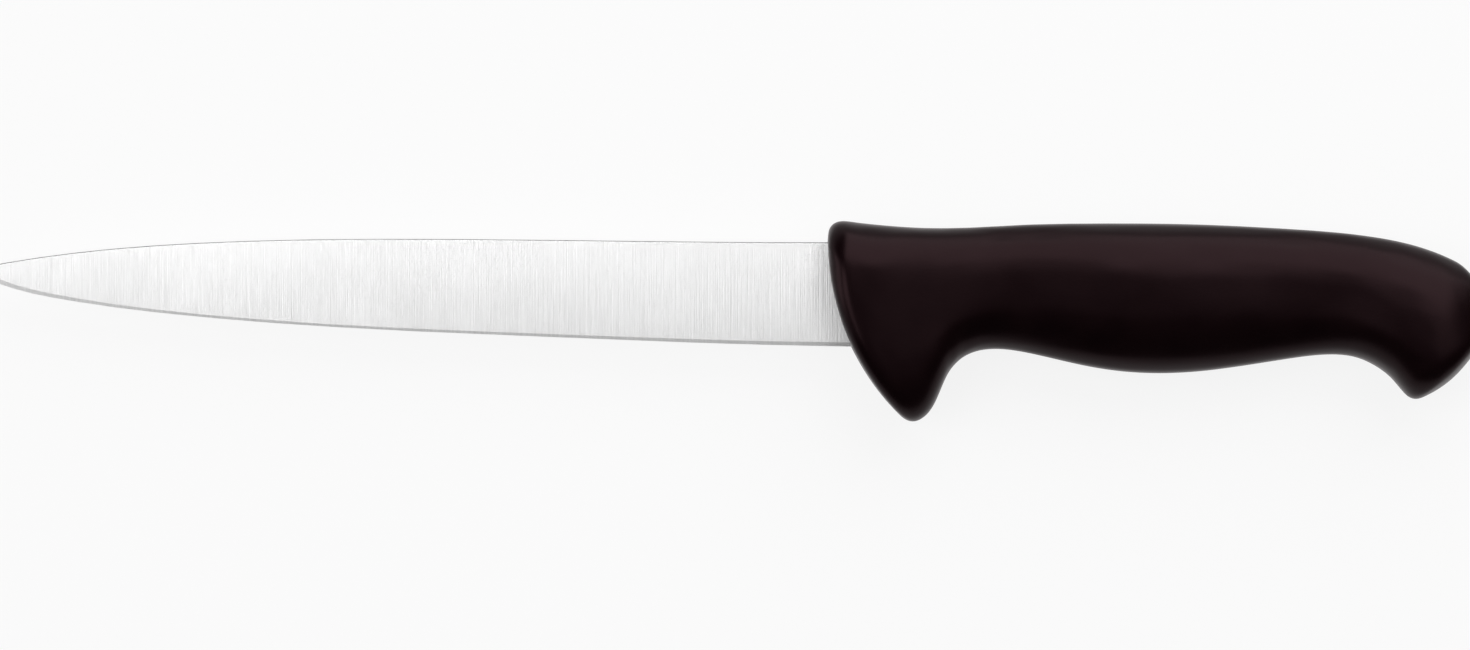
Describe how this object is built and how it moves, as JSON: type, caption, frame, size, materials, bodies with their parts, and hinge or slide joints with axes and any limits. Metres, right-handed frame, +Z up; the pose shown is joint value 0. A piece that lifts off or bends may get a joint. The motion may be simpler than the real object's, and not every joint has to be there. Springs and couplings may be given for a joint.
{
  "type": "fillet knife",
  "caption": "Fillet knife with a long, slim ground blade on a hidden tang and a moulded plastic handle with a deep finger guard and a hooked butt.",
  "frame": {"origin": "middle of the bounding box, on the surface that the knife lies on with its right side down", "axes": "+X from the blade's tip to the handle's butt, +Y from the cutting edge to the spine, +Z up and square to the blade, out of its left side"},
  "size_m": [0.3362, 0.0448, 0.022],
  "materials": {
    "blade_steel": "stainless sheet, satin ground with fine lines from spine to edge",
    "handle_plastic": "black moulded polypropylene with a fine eroded grain"
  },
  "bodies": {
    "root": {"blade": "blade_steel", "handle": "handle_plastic"}
  },
  "joints": []
}
